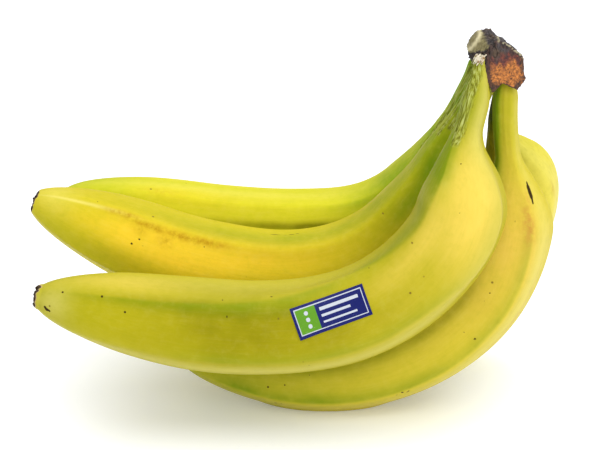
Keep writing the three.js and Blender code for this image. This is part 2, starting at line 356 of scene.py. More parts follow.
def peel_material(fruit, yellow, golden, green, pale="#dfd270", scuff="#a67c0c"):
    """Banana peel, grown and not made: a waxy skin over pale fibres. The wax gives a broad soft
    gloss and the fibres faint lines along the fruit. Unripe skin is green at its ends and edges,
    and old skin has brown dots and grey-green dead strips. The colours lie in layers, each laid on
    by a mask of the mesh or by a pattern."""
    material, tree = new_material("banana_peel_" + fruit["name"])
    place = add(tree, "Attribute", out="Vector", attribute_name="straight")
    long_place = add(tree, "VectorMath", {0: place, 1: (0.07, 1, 1)}, operation="MULTIPLY")
    # The attribute is in millimetres, and a scale is one over a size. Ripeness goes in clouds of
    # 14 mm and mottles of 3.2 mm, and marks fray in grit of 2.2 mm. Fibres 0.45 mm apart, pores of
    # 0.3 mm and shreds of 0.25 mm would be too fine to show, and are drawn about twice as coarse.
    cloud = add(tree, "TexNoise", {"Vector": place, "Scale": 1 / 14, "Detail": 3, "Roughness": 0.6})
    mottle = add(tree, "TexNoise", {
        "Vector": place, "Scale": 1 / 3.2, "Detail": 4, "Roughness": 0.65})
    grit = add(tree, "TexNoise", {"Vector": place, "Scale": 1 / 2.2, "Detail": 5, "Roughness": 0.7})
    fibre = add(tree, "TexNoise", {
        "Vector": long_place, "Scale": 1 / 0.9, "Detail": 4, "Roughness": 0.6})
    pore = add(tree, "TexNoise", {"Vector": place, "Scale": 1 / 0.7, "Detail": 2, "Roughness": 0.5})
    shred = add(tree, "TexNoise", {
        "Vector": long_place, "Scale": 1 / 0.5, "Detail": 3, "Roughness": 0.6})

    # Ripeness: golden sides, olive skin, green ends and edges, and pale rims. The olive layer also
    # paints shade where fruits touch and on sides turned from the light, and some green and pale
    # patches paint shade and light, noted at each fruit.
    cloudy = add(tree, "MapRange", {0: cloud, 1: 0.3, 2: 0.7, 3: 0.75, 4: 1.25})
    skin = yellow
    for mask_name, colour, unevenness in (("golden", golden, cloudy), ("olive_and_painted_shade", "#7c7604", cloudy),
                                          ("green", green, cloudy), ("pale", pale, 1.0)):
        mask = add(tree, "Attribute", out="Fac", attribute_name=mask_name)
        amount = add(tree, "Math", {0: mask, 1: unevenness}, operation="MULTIPLY")
        skin = add(tree, "Mix", {0: amount, 6: skin, 7: colour}, out=2, data_type="RGBA")
    # Faint green and pale lines and mottles: [pattern, colour, none at, all at, amount].
    for pattern, colour, none, full, most in (
            (fibre, green, 0.5, 0.8, 0.1), (mottle, green, 0.5, 0.7, 0.1),
            (mottle, pale, 0.5, 0.3, 0.06), (fibre, pale, 0.5, 0.2, 0.06)):
        amount = add(tree, "MapRange", {0: pattern, 1: none, 2: full, 3: 0.0, 4: most})
        skin = add(tree, "Mix", {0: amount, 6: skin, 7: colour}, out=2, data_type="RGBA")
    # Rubbed skin is brown where the grit stands up.
    mask = add(tree, "Attribute", out="Fac", attribute_name="scuff")
    broken = add(tree, "MapRange", {0: grit, 1: 0.3, 2: 0.6})
    amount = add(tree, "Math", {0: mask, 1: broken}, operation="MULTIPLY")
    skin = add(tree, "Mix", {0: amount, 6: skin, 7: scuff}, out=2, data_type="RGBA")
    # Pinprick spots in one of three cells of 9 mm. They are 0.3 mm wide and drawn twice that, to
    # show at all.
    cell = add(tree, "TexVoronoi", {"Vector": place, "Scale": 1 / 9, "Randomness": 1.0})
    chosen = add(tree, "MapRange", {0: cell.node.outputs["Color"], 1: 0.6, 2: 0.62})
    near = add(tree, "MapRange", {0: cell, 1: 0.065, 2: 0.03, 3: 0.0, 4: 0.9})
    amount = add(tree, "Math", {0: chosen, 1: near}, operation="MULTIPLY")
    skin = add(tree, "Mix", {0: amount, 6: skin, 7: "#6b5420"}, out=2, data_type="RGBA")
    # Marks with a frayed border: brown dots, dead strips, and the scar, tan at its rim and
    # charred inside. [mask, share of grit, none at, all at, colour, amount]
    bark = add(tree, "ValToRGB", {0: shred},
               stops=((0.4, "#4e4a1a"), (0.5, "#8b9036"), (0.66, "#b4ba74")))
    char = add(tree, "ValToRGB", {0: pore}, stops=((0.4, "#231a14"), (0.7, "#6b5a47")))
    worn = {}
    for mask_name, share, none, full, colour, most in (
            ("dot", 0.35, 0.6, 0.8, "#33240c", 1.0), ("strip", 0.9, 0.72, 1.1, bark, 0.75),
            ("scar", 0.5, 0.55, 0.8, "#b9a06c", 1.0), ("scar", 0.5, 0.95, 1.1, char, 1.0)):
        mask = add(tree, "Attribute", out="Fac", attribute_name=mask_name)
        frayed = add(tree, "Math", {0: grit, 1: share, 2: mask}, operation="MULTIPLY_ADD")
        worn[mask_name] = add(tree, "MapRange", {0: frayed, 1: none, 2: full})
        amount = add(tree, "Math", {0: worn[mask_name], 1: most}, operation="MULTIPLY")
        skin = add(tree, "Mix", {0: amount, 6: skin, 7: colour}, out=2, data_type="RGBA")
    # Dead skin and char are crusty and have no gloss.
    dead = add(tree, "Math", {0: worn["strip"], 1: worn["scar"]}, operation="ADD")
    wax = add(tree, "MapRange", {0: cloud, 1: 0.3, 2: 0.7, 3: 0.48, 4: 0.6})
    rough = add(tree, "Math", {0: dead, 1: 0.35, 2: wax}, operation="MULTIPLY_ADD")
    crust = add(tree, "Math", {0: grit, 1: dead}, operation="MULTIPLY")
    height = 0.0
    for pattern, share in ((fibre, 0.5), (pore, 0.25), (crust, 2.5)):
        height = add(tree, "Math", {0: pattern, 1: share, 2: height}, operation="MULTIPLY_ADD")
    bump = add(tree, "Bump", {"Height": height, "Strength": 0.5, "Distance": 0.25 * MM})
    shader = add(tree, "BsdfPrincipled", {
        "Base Color": skin, "Roughness": rough, "Normal": bump, "IOR": 1.45,
        "Specular IOR Level": 0.12, "Specular Tint": "#fff0a0"})
    add(tree, "OutputMaterial", {"Surface": shader})
    return material


# The skin is drawn in rows that crowd together toward the tip, by a power, and in sides.
ROWS = 400
SIDES = 200
CROWDING = 1.3
# The domed scar at the tip, from its edge to its middle: [beyond the end, width, raggedness].
SCAR = [[0, 1, 0], [0.8, 0.95, 0.2], [1.5, 0.86, 0.4], [2, 0.74, 0.7], [2.3, 0.6, 1],
        [2.1, 0.5, 0.8], [1.6, 0.4, 0.4], [1.8, 0.3, 0.4], [2.1, 0.15, 0.3]]
SCAR_ROWS = 32
# How much the raggedness shows in the width of the scar, as a share, and in its height.
RAG_WIDTH = 0.03
RAG_HEIGHT = 0.6
# A band fades in and out along the fruit, and has a soft border at its edge, in degrees. A dot
# is soft to this many times its radius.
BAND_FADE = 30
BAND_BORDER = 3
DOT_SOFTNESS = 1.5


def grow(fruit):
    """The mesh of a fruit: rings from root to tip, then the rings of the scar, whose rim is torn.
    Every mask is worked out on the same grid: bells for the patches, and distances on the skin
    for bands, dots, strips and cuts."""
    length = fruit["length"]
    s = length * (1 - (1 - np.linspace(0, 1, ROWS)) ** CROWDING)
    around = np.arange(SIDES) * 360 / SIDES
    s, around = np.meshgrid(s, around, indexing="ij")
    body = peel_point(fruit, s, around)
    centre, out, across = centre_line(fruit, np.full(SIDES, length))
    ahead = np.cross(out, across)
    rag = raggedness(fruit, around[0])
    place = np.linspace(0, len(SCAR) - 1, SCAR_ROWS + 1)[1:]
    beyond, width, tear = (
        np.interp(place, np.arange(len(SCAR)), column)[:, None] for column in np.array(SCAR).T)
    wide = (width + RAG_WIDTH * tear * rag)[..., None]
    beyond = fruit["dome"] * beyond + RAG_HEIGHT * tear * rag
    scar_rings = centre + (body[-1] - centre) * wide + ahead * beyond[..., None]
    mesh = closed_mesh("fruit_" + fruit["name"], np.vstack([body, scar_rings]))

    s = np.vstack([s, np.repeat(s[-1:], SCAR_ROWS, 0)])
    around = np.vstack([around, np.repeat(around[-1:], SCAR_ROWS, 0)])
    patches = ("green", "golden", "pale", "olive_and_painted_shade")
    masks = {name: np.zeros(s.shape) for name in (*patches, "scuff", "dot")}
    for name in patches:
        for along, place, reach_along, reach_around, amount in fruit[name]:
            away = turn_between(around, place)
            masks[name] += amount * bell(s - along, reach_along) * bell(away, reach_around)
    angle = turned(fruit, s, around)
    for edge, side, reach, start, end, amount in fruit["bands"]:
        run = smooth(start, start + BAND_FADE, s) * smooth(end, end - BAND_FADE, s)
        away = side * turn_between(angle, edge)
        beside = smooth(-BAND_BORDER, BAND_BORDER, away) * bell(np.maximum(away, 0), reach)
        masks["green"] += amount * run * beside
    for along, place, reach_along, reach_around, amount in fruit["scuffs"]:
        away = turn_between(around, place)
        rubbed = amount * bell(s - along, reach_along) * bell(away, reach_around)
        masks["scuff"] = np.maximum(masks["scuff"], rubbed)
    for along, place, radius in fruit["dots"]:
        away = np.hypot(s - along, np.radians(turn_between(around, place)) * girth(fruit, s))
        masks["dot"] = np.maximum(masks["dot"], 1 - away / (DOT_SOFTNESS * radius))
    masks["dot"] = np.maximum(masks["dot"], strip_field(fruit, fruit["cuts"], s, around))
    masks["strip"] = strip_field(fruit, fruit["strips"], s, around)
    # The char starts lower on the dome in front than at its sides.
    front = np.maximum(0, np.cos(np.radians(around[0] - 90)))
    masks["scar"] = np.zeros(s.shape)
    masks["scar"][-SCAR_ROWS:] = smooth(1.02, 0.86, width + 0.06 * front + 0.05 * rag)
    for name, field in masks.items():
        paint(mesh, name, np.clip(field, 0, 1))
    straight = straightened(fruit, s, around)
    straight[-SCAR_ROWS:, :, 1:] *= width[..., None]
    straight[-SCAR_ROWS:, :, 0] += beyond
    paint(mesh, "straight", straight)
    return mesh


def place_piece(name, mesh, materials, node):
    """Puts a finished mesh in the scene as the piece that stands for a solid of the model."""
    for material in materials:
        mesh.materials.append(material)
    piece = bpy.data.objects.new(name, mesh)
    bpy.context.scene.collection.objects.link(piece)
    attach(piece, "root")
    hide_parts(node)
    return piece


front_peel = peel_material(FRONT, "#aca118", "#e0c250", "#76860a", pale="#cbc26a")
place_piece("banana_front", grow(FRONT), [front_peel], "finger_front")


# The middle fruit of the upper row. It grew like the front one, is the ripest on its side, where
# the edge is rubbed brown, and stays green underneath and toward its stalk.
MIDDLE = {
    "name": "middle", "seed": 23,
    "start": [70.1, -3, 134], "pitch": -112.5, "yaw": 0, "length": 220.6,
    "bends": [[30, 51, 18, 0], [15, 154, -97.5, 0], [149, 175, -11.5, 0]],
    "body": 16, "stem": 5, "root": 5, "neck": [16, 74], "taper": 65.2,
    "roll": 0, "edges": 0.72, "dome": 0.4,
    "drift": [[216, 150, 16, -14], [200, 58, 40, 22]],
    "fills": [],
    # Painted shade: the green and olive patches at 54 to 62 along and 119 to 128 around darken the
    # groove under the front fruit, and the green and olive ones on the upper facet from 116 to 148
    # along darken that facet. The rest is the skin's own colour.
    "green": [[0, 180, 50, 200, 0.85], [54, 120, 22, 14, 0.5], [70, 172, 36, 30, 0.35],
              [46, 142, 24, 18, 0.1], [196, 54, 34, 24, 0.16], [215, 100, 18, 60, 0.15],
              [116, 168, 30, 20, 0.2], [148, 166, 36, 22, 0.2]],
    "olive_and_painted_shade": [[142, 158, 44, 18, 0.28], [122, 136, 30, 14, 0.2], [54, 119, 16, 14, 0.4],
             [62, 128, 22, 16, 0.3]],
    "golden": [[176, 112, 30, 26, 1.0], [145, 128, 34, 24, 0.7], [120, 140, 30, 20, 0.4]],
    "pale": [[204, 142, 14, 3, 0.6], [216, 150, 8, 50, 0.3]],
    "bands": [],
    "scuffs": [[189, 141, 8, 4.5, 0.8], [179, 136.5, 8, 5, 0.9], [167, 138, 9, 5, 0.9],
               [156, 139, 10, 5, 0.9], [172, 127, 3, 9, 0.6], [182, 129, 3, 8, 0.5]],
    "dots": [[183, 105, 0.6], [181, 115, 0.6], [179, 108, 0.35], [156, 133, 0.4],
             [118, 188, 0.5], [138, 104, 0.4], [200, 150, 0.4], [176, 118, 0.3]],
    "strips": [[1.3, [3, 150], [12, 158], [24, 160], [34, 158]],
               [0.9, [3, 118], [12, 122], [22, 128], [30, 130]]],
    "cuts": [[0.2, [117, 187], [123, 184], [130, 186]]],
}
middle_peel = peel_material(MIDDLE, "#bfb01c", "#e4c02c", "#66860a")
place_piece("banana_middle", grow(MIDDLE), [middle_peel], "finger_middle")


# The rear fruit of the upper row. It grew like the front one, and is the greenest of the three,
# smooth and nearly without marks.
BACK = {
    "name": "back", "seed": 37,
    "start": [68.6, 5.8, 129.9], "pitch": -112.9, "yaw": 19.5, "length": 211.3,
    "bends": [[10, 63, 23.5, 8], [25, 117, -84, -31], [63, 200, -18.5, 5]],
    "body": 16.1, "stem": 5, "root": 5, "neck": [21, 72], "taper": 52.9,
    "roll": 0, "edges": 0.55, "dome": 1,
    "drift": [],
    "fills": [[2, 180, 7, 60, 1.3]],
    "green": [[0, 180, 66, 200, 0.9], [68, 152, 28, 36, 0.5], [205, 120, 22, 200, 0.4],
              [150, 92, 60, 16, 0.4], [150, 184, 60, 16, 0.12]],
    # The narrow olive band at 116 around is painted shade on the lowest strip that shows, next to
    # the middle fruit.
    "olive_and_painted_shade": [[146, 146, 28, 24, 0.22], [116, 116, 40, 7, 1.0]],
    "golden": [[165, 150, 26, 20, 0.4]],
    "pale": [[150, 170, 60, 12, 0.2]],
    "bands": [[144, -1, 14, 60, 120, 0.25]],
    "scuffs": [[176, 150, 8, 8, 0.3]],
    "dots": [[195, 139, 0.4], [166, 187, 0.35]],
    "strips": [[1.4, [3, 140], [14, 150], [28, 158], [44, 160]]],
    "cuts": [],
}
back_peel = peel_material(BACK, "#cec626", "#dcc420", "#789610")
place_piece("banana_back", grow(BACK), [back_peel], "finger_back")


# The front fruit of the lower row, which carries most of the bunch's weight. It grew golden, with
# a green edge and a slit and a bruise on its shoulder, and its belly is pressed flat on the floor.
LOWER_FRONT = {
    "name": "lower_front", "seed": 41,
    "start": [73.7, -14.4, 132.9], "pitch": -92, "yaw": 0.5, "length": 210,
    "bends": [[4, 48, 17, -0.5], [19, 151, -88, -1], [118, 195, -25.5, 6.5]],
    "body": 16, "stem": 4.4, "root": 12, "neck": [31, 62], "taper": 70.1,
    "roll": 7, "edges": 0.72, "dome": 0.5,
    "drift": [],
    "fills": [],
    # The strongest green patch, at 158 around by the stalk, is partly green skin and partly painted
    # shade on the stalk's shaded side.
    "green": [[0, 120, 40, 200, 0.3], [12, 158, 44, 32, 1.5], [204, 84, 36, 200, 0.55],
              [150, 120, 40, 40, 0.2]],
    # The three narrow olive bands from 92 to 160 along paint the shadow that the front fruit of the
    # upper row casts on this one.
    "olive_and_painted_shade": [[82, 100, 16, 30, 0.1], [126, 124, 26, 9, 0.55], [160, 114, 26, 9, 0.5],
             [92, 122, 20, 9, 0.4]],
    "golden": [[62, 100, 26, 60, 0.8], [100, 110, 40, 40, 0.2]],
    # The pale patch low on the front is painted light: it brightens the belly as the floor lights
    # it.
    "pale": [[86, 34, 54, 22, 0.5]],
    "bands": [[72, 1, 12, 40, 135, 0.45], [72, 1, 14, 105, 205, 0.6]],
    "scuffs": [[55, 69, 7, 9, 0.7], [48, 62, 4, 6, 0.4], [90, 25, 14, 6, 0.3]],
    "dots": [[83, 97, 0.45], [100, 75, 0.6], [101, 91, 0.4], [54, 89, 0.45], [189, 94, 0.5],
             [177, 82, 0.6], [171, 89, 0.5], [133, 61, 0.5], [131, 63, 0.7], [129, 61, 0.5],
             [120, 17, 0.5], [183, 25, 0.7], [174, 49, 0.7], [172, 52, 0.5], [162, 106, 0.35]],
    "strips": [],
    "cuts": [[0.5, [42.6, 44], [45.5, 47.5], [49, 51.5]], [1.0, [44.2, 46.4], [47, 49.4]]],
}
lower_peel = peel_material(LOWER_FRONT, "#c4b32e", "#dab84a", "#6c8408", scuff="#b07038")
place_piece("banana_lower_front", grow(LOWER_FRONT), [lower_peel], "finger_lower_front")


# The rear fruit of the lower row. Only a pale shoulder and a strip of stalk show in front, and the
# rest grew like its neighbour. Its green is painted very dark, as the shade on the stalk between
# the rows.
LOWER_BACK = {
    "name": "lower_back", "seed": 59,
    "start": [76.2, -2.1, 129.1], "pitch": -95.7, "yaw": 26.5, "length": 211.1,
    "bends": [[21, 44, 31, 2], [48, 79, -27.5, -25], [47, 140, -62, 3], [111, 207, -44, 0]],
    "body": 16.6, "stem": 4.1, "root": 12, "neck": [29, 66], "taper": 57.5,
    "roll": 26, "edges": 0.6, "dome": 0.5,
    "drift": [],
    "fills": [],
    "green": [[0, 160, 42, 200, 1.3], [200, 90, 40, 200, 0.6], [110, 20, 40, 16, 0.25]],
    "olive_and_painted_shade": [],
    "golden": [[75, 70, 24, 50, 0.4]],
    "pale": [[70, 30, 30, 30, 0.5]],
    "bands": [[72, 1, 10, 60, 200, 0.4]],
    "scuffs": [[60, 40, 3, 5, 0.5]],
    "dots": [[120, 330, 0.5], [150, 200, 0.5], [90, 250, 0.5], [170, 300, 0.6]],
    "strips": [],
    "cuts": [],
}
# The very dark green paints the shade on the stalk.
rear_peel = peel_material(LOWER_BACK, "#dacd44", "#dcc644", "#3e4e04")
place_piece("banana_lower_back", grow(LOWER_BACK), [rear_peel], "finger_lower_back")


# The crown: the cushion of stem that a knife cut off the big stalk. The cut in front has dried to
# rust and charcoal, the old skin on the left is still olive, and the rim is torn and fibrous.

# Three outlines seen from the front, as [x, z] corners from the lower left one clockwise.
CROWN_FACE = [[67.9, 125.8], [66.1, 130], [65.3, 136], [66.6, 141], [70.1, 143.4], [74.6, 140.6],
              [79.2, 137], [79.5, 131], [80.1, 129.5], [77.1, 126], [73.9, 127.6], [71.8, 128.6]]
CROWN_MIDDLE = [[65.6, 129.8], [61.6, 134.6], [59.8, 137.2], [61.8, 142.2], [66.2, 144.2],
                [72.6, 140.5], [79.1, 134.8], [79.6, 131], [79.6, 129], [77.1, 127.5],
                [73.6, 128], [69.6, 128.5]]
CROWN_BACK = [[65.6, 127.8], [62, 130.8], [60.8, 133.4], [62.1, 137], [66.1, 140.3], [70.6, 138.5],
              [75.6, 134], [77.6, 130.5], [77.6, 128], [75.6, 126], [72.6, 125.5], [69.1, 125.7]]
# The knife cut in front: its y at the reference point, and how it leans back to the right and up.
FACE_Y = -20.4
FACE_LEAN = [0.3, 0.35]
FACE_REFERENCE = [73, 129]
# The depth from front to rear. How far back the other outlines lie and the rear end starts to
# close, as shares of it, the share of the area that is left at the end, and where it closes to.
CROWN_DEPTH = 34.4
MIDDLE_SHARE = 0.42
BACK_SHARE = 0.82
CLOSING_SHARE = 0.75
CLOSED_AREA = 0.25
CROWN_CORE = np.array([69, 132])
# Points round the crown, and rows on the cut, along the skin and on the rear end.
CROWN_SIDES = 300
FACE_ROWS = 70
SKIN_ROWS = 150
END_ROWS = 24


def outline(corners, share, softness):
    """Point at a share of the way round a polygon, averaged with its neighbours within softness of
    the way, which rounds the corners."""
    corners = np.array(corners + corners[:1], dtype=float)
    places = np.arange(len(corners)) / (len(corners) - 1)
    total = 0
    steps = np.linspace(-1, 1, 9)
    for step in steps:
        at = (share + step * softness) % 1
        total = total + np.stack([np.interp(at, places, corners[:, k]) for k in (0, 1)], -1)
    return total / len(steps)


def crown_point(depth, share, rho):
    """Point of the crown at a depth from the knife cut, a share of the way round, and rho from its
    core to its skin. Three outlines are blended along the depth, and the rear end is rounded."""
    to_middle = smooth(0, MIDDLE_SHARE, depth)[..., None]
    to_back = smooth(MIDDLE_SHARE, BACK_SHARE, depth)[..., None]
    face = outline(CROWN_FACE, share, 0.008)
    middle = outline(CROWN_MIDDLE, share, 0.03)
    back = outline(CROWN_BACK, share, 0.04)
    skin = face + to_middle * (middle - face) + to_back * (back - middle)
    closing = np.sqrt(1 - (1 - CLOSED_AREA) * smooth(CLOSING_SHARE, 1, depth) ** 2)
    flat = CROWN_CORE + (skin - CROWN_CORE) * (closing * rho)[..., None]
    lean = (flat - FACE_REFERENCE) @ FACE_LEAN
    y = FACE_Y + lean * (1 - smooth(0, CLOSING_SHARE, depth)) + depth * CROWN_DEPTH
    return np.stack([flat[..., 0], y, flat[..., 1]], -1)


rho_path = np.concatenate([np.linspace(0.02, 1, FACE_ROWS), np.ones(SKIN_ROWS),
                           np.linspace(1, 0.05, END_ROWS)])
depth_path = np.concatenate([np.zeros(FACE_ROWS), np.linspace(0, 1, SKIN_ROWS + 1)[1:],
                             np.ones(END_ROWS)])
share_path = np.arange(CROWN_SIDES) / CROWN_SIDES
rho, share = np.meshgrid(rho_path, share_path, indexing="ij")
depth = np.repeat(depth_path[:, None], CROWN_SIDES, 1)
base = crown_point(depth, share, rho)
# The outward direction is the cross product of the two directions along the grid.
normal = np.cross(np.roll(base, -1, 1) - np.roll(base, 1, 1), np.gradient(base, axis=0))
normal /= np.maximum(np.linalg.norm(normal, axis=-1, keepdims=True), 1e-9)
x, y, z = np.moveaxis(base, -1, 0)
on_cut = (depth == 0) * 1.0
on_skin = 1 - on_cut
# The old skin of the knob: a round patch in front, whose torn lower border drops to the rear.
above_tear = z + 0.36 * y - 133.6 + 0.35 * ripples(base, 1.4, 14)
olive = 1 - smooth(3.4, 4.6, np.hypot(x - 62.6, z - 140.2) + 0.5 * ripples(base, 2.5, 5))
olive *= on_skin * (1 - smooth(0.45, 0.6, depth)) * smooth(-0.3, 0.3, above_tear)
# Pale marks: a painted highlight streaking across the knob, a bleached nick on top and the bleached
# torn upper edge of the cut.
stripe = bell((x - 61.2) * 0.83 - (z - 138.5) * 0.56, 0.5) * olive
stripe = np.maximum(stripe, 0.8 * bell(np.hypot(x - 70.2, z - 142.9), 0.4))
top_edge = smooth(0.93, 0.98, rho) * (depth < 0.03) * smooth(70.5, 71.5, x) * smooth(136, 137, z)
stripe = np.maximum(stripe, 0.6 * top_edge * smooth(0, 0.4, ripples(base, 1.5, 15)))
# The cut is rusty below and wine red above, with a border that licks up like flames.
flames = ripples(base * [1, 1, 0.45], 2.6, 6)
left_char = 0.9 * np.maximum(0, 69.5 - x)
burnt = smooth(136.8, 133.6, z + 1.1 * flames + left_char) * (depth < 0.02)
burgundy = smooth(140, 136.2, z - 0.25 * (x - 72) + 1.2 * flames) * (depth < 0.05)
# The dark rim of the cut is widest at its two lower points and down its left side.
rim = smooth(0.8, 0.97, rho + 0.08 * ripples(base, 1.5, 18)) * on_cut
rim = np.maximum(rim, on_skin * (1 - smooth(0.02, 0.06, depth)))
for tip_x, tip_z, reach in ((67.8, 126.6, 3.6), (77.3, 126.4, 2.8)):
    away = np.hypot(x - tip_x, z - tip_z) + 0.4 * ripples(base, 1.2, 16)
    rim = np.maximum(rim, 1 - smooth(0.5 * reach, reach, away))
left_edge = np.interp(z, [125.8, 130, 136, 141], [67.9, 66.1, 65.3, 66.6])
from_left = x - left_edge + 0.4 * ripples(base, 1.2, 17)
rim = np.maximum(rim, smooth(2.4, 0.9, from_left) * on_cut)
# Cracks run down the charred skin beside the knob.
crack = 1 - np.abs(ripples(base * [1, 1, 0.22], 2.2, 8))
fissure = smooth(0.75, 0.98, crack) * bell(x - 68, 2.4) * smooth(135, 139, z) * (depth < 0.3)
under_knob = on_skin * smooth(0.3, -0.3, above_tear) * smooth(67, 65.5, x)
# Relief: grain everywhere, coarser and lumpy on the charred skin, torn under the knob, sunk in the
# cracks and proud on the pale marks. It fades out at the core, where the rows meet.
grainy = 0.1 + 0.14 * on_skin * smooth(0.06, 0.2, depth) * (1 - 0.7 * olive)
lumpy = 0.3 * on_skin * smooth(0.1, 0.3, depth) * (1 - olive)
relief = grainy * ripples(base, 1.6, 9)
relief += lumpy * ripples(base * [1, 0.5, 1], 5, 19)
relief -= 0.8 * fissure
relief += 0.45 * under_knob * ripples(base, 1.2, 13)
relief += 0.3 * stripe
relief *= smooth(0.02, 0.15, rho)
crown_mesh = closed_mesh("crown", base + normal * relief[..., None])
for mask_name, field in {"olive": olive, "stripe": stripe, "burnt": burnt, "burgundy": burgundy,
                         "rim": rim, "fissure": fissure}.items():
    paint(crown_mesh, mask_name, np.clip(field, 0, 1))

# Cut stem tissue, dried: rust-coloured pith with dark vessels, charred black where it bled latex.
# It is dull and rough all over.
crown_material, tree = new_material("dried_banana_stem")
place = add(tree, "TexCoord", out="Object")
upright = add(tree, "VectorMath", {0: place, 1: (1, 1, 0.25)}, operation="MULTIPLY")
# Vessels and fibres are about 0.5 mm apart and drawn at 0.9 mm, to show at all. Blotches are 5 mm.
vessel = add(tree, "TexNoise", {
    "Vector": place, "Scale": 1 / (0.9 * MM), "Detail": 5, "Roughness": 0.75})
grain = add(tree, "TexNoise", {
    "Vector": upright, "Scale": 1 / (0.9 * MM), "Detail": 4, "Roughness": 0.65})
blotch = add(tree, "TexNoise", {
    "Vector": place, "Scale": 1 / (5 * MM), "Detail": 4, "Roughness": 0.6})
browned = add(tree, "MapRange", {0: blotch, 1: 0.5, 2: 0.66, 3: 0.0, 4: 0.75})
stem = add(tree, "ValToRGB", {0: grain}, stops=((0.42, "#191315"), (0.72, "#5c5150")))
stem = add(tree, "Mix", {0: browned, 6: stem, 7: "#54402c"}, out=2, data_type="RGBA")
wine = add(tree, "ValToRGB", {0: vessel}, stops=((0.36, "#271214"), (0.68, "#7a3626")))
rust = add(tree, "ValToRGB", {0: vessel}, stops=((0.36, "#3f190b"), (0.62, "#cc7d32")))
scorch = add(tree, "ValToRGB", {0: grain}, stops=((0.42, "#1d120e"), (0.68, "#553120")))
old_skin = add(tree, "ValToRGB", {0: grain}, stops=((0.3, "#5c5330"), (0.7, "#8f8556")))
# The pale stripe colour paints the highlight on the knob as well as bleached fibre.
for mask_name, colour, most in (("burgundy", wine, 1.0), ("burnt", rust, 1.0), ("rim", scorch, 0.9),
                                ("olive", old_skin, 1.0), ("stripe", "#cec49c", 0.85),
                                ("fissure", "#120e0e", 1.0)):
    mask = add(tree, "Attribute", out="Fac", attribute_name=mask_name)
    amount = add(tree, "Math", {0: mask, 1: most}, operation="MULTIPLY")
    stem = add(tree, "Mix", {0: amount, 6: stem, 7: colour}, out=2, data_type="RGBA")
height = add(tree, "Math", {0: grain, 1: vessel}, operation="ADD")
bump = add(tree, "Bump", {"Height": height, "Strength": 0.7, "Distance": 0.5 * MM})
shader = add(tree, "BsdfPrincipled", {
    "Base Color": stem, "Roughness": 0.72, "Normal": bump, "IOR": 1.5})
add(tree, "OutputMaterial", {"Surface": shader})
place_piece("crown_cut", crown_mesh, [crown_material], "crown")


# Torn fibres: where the front stalk was pulled round under the crown its skin has split into thin
# dry strips, nearly white. They come from under the knob and lie on the top of the stalk.
FIBRES = 24
FIBRE_STEPS = 13
FIBRE_THICKNESS = 0.08
rng = np.random.default_rng(5)
# Of each strip: start along the stalk, length, half width, place round the stalk, sway round it,
# and lift off it.
from_s, run, half_width, place_around, sway, lift = (
    rng.uniform(low, high, (FIBRES, 1, 1))
    for low, high in ((-0.9, 0.9), (1.2, 3.4), (0.15, 0.38), (35, 125), (15, 60), (0.1, 0.5)))
# A strip is three points wide. It narrows to a point at its end, bulges along its middle, and
# curls up or down toward its end.
along_blade = np.linspace(0, 1, FIBRE_STEPS)[None, :, None]
side_blade = np.array([-1, 0, 1])[None, None, :]
blade_s = from_s + run * along_blade + 0 * side_blade
root_girth = girth(FRONT, np.maximum(blade_s, 0))
spread = np.degrees(half_width * (1 - along_blade ** 2) * side_blade / root_girth)
blade_around = place_around + sway * along_blade + spread
curl = 0.5 * along_blade ** 2 * np.sin(40 * lift)
bulge = 0.08 * (1 - side_blade ** 2)
blade = peel_point(FRONT, np.maximum(blade_s, 0), blade_around, lift + curl + bulge)
# What starts before the root of the stalk goes straight up from it.
blade[..., 2] -= np.minimum(blade_s, 0)
grid = np.arange(blade_s.size).reshape(blade_s.shape)
cells = np.stack([grid[:, :-1, :-1], grid[:, 1:, :-1], grid[:, 1:, 1:], grid[:, :-1, 1:]], -1)
fibre_mesh = bpy.data.meshes.new("torn_fibres")
fibre_mesh.from_pydata(blade.reshape(-1, 3) * MM, [], cells.reshape(-1, 4).tolist())
fibre_mesh.shade_smooth()

# Dried plant fibre: matt and bleached, with tan stains of 1.8 mm.
fibre_material, tree = new_material("dried_torn_fibre")
place = add(tree, "TexCoord", out="Object")
stain = add(tree, "TexNoise", {
    "Vector": place, "Scale": 1 / (1.8 * MM), "Detail": 4, "Roughness": 0.6})
bleached = add(tree, "ValToRGB", {0: stain}, stops=((0.4, "#8a6a3c"), (0.55, "#ded5bd")))
shader = add(tree, "BsdfPrincipled", {"Base Color": bleached, "Roughness": 0.8})
add(tree, "OutputMaterial", {"Surface": shader})
fibres = place_piece("torn_fibres", fibre_mesh, [fibre_material], "crown")
fibre_wall = fibres.modifiers.new("strip", "SOLIDIFY")
fibre_wall.thickness = FIBRE_THICKNESS * MM


# The label: a paper sticker with a film, printed blue with a green panel and plain white bars,
# and pressed on the side of the front fruit, whose roundness it follows.
LABEL = {"along": 117.6, "around": 124.2, "tilt": 4.6, "width": 27.2, "height": 11.5}
LABEL_THICKNESS = 0.12
# Its face lies this far off the skin, and it is drawn in cells that are this wide.
LABEL_LIFT = 0.18
LABEL_CELL = 0.1
# The lower left corner has come unstuck: how high it curls, and over which length.
CORNER_CURL = 0.5
CORNER_REACH = 9
SHEET_ROUNDS = 10


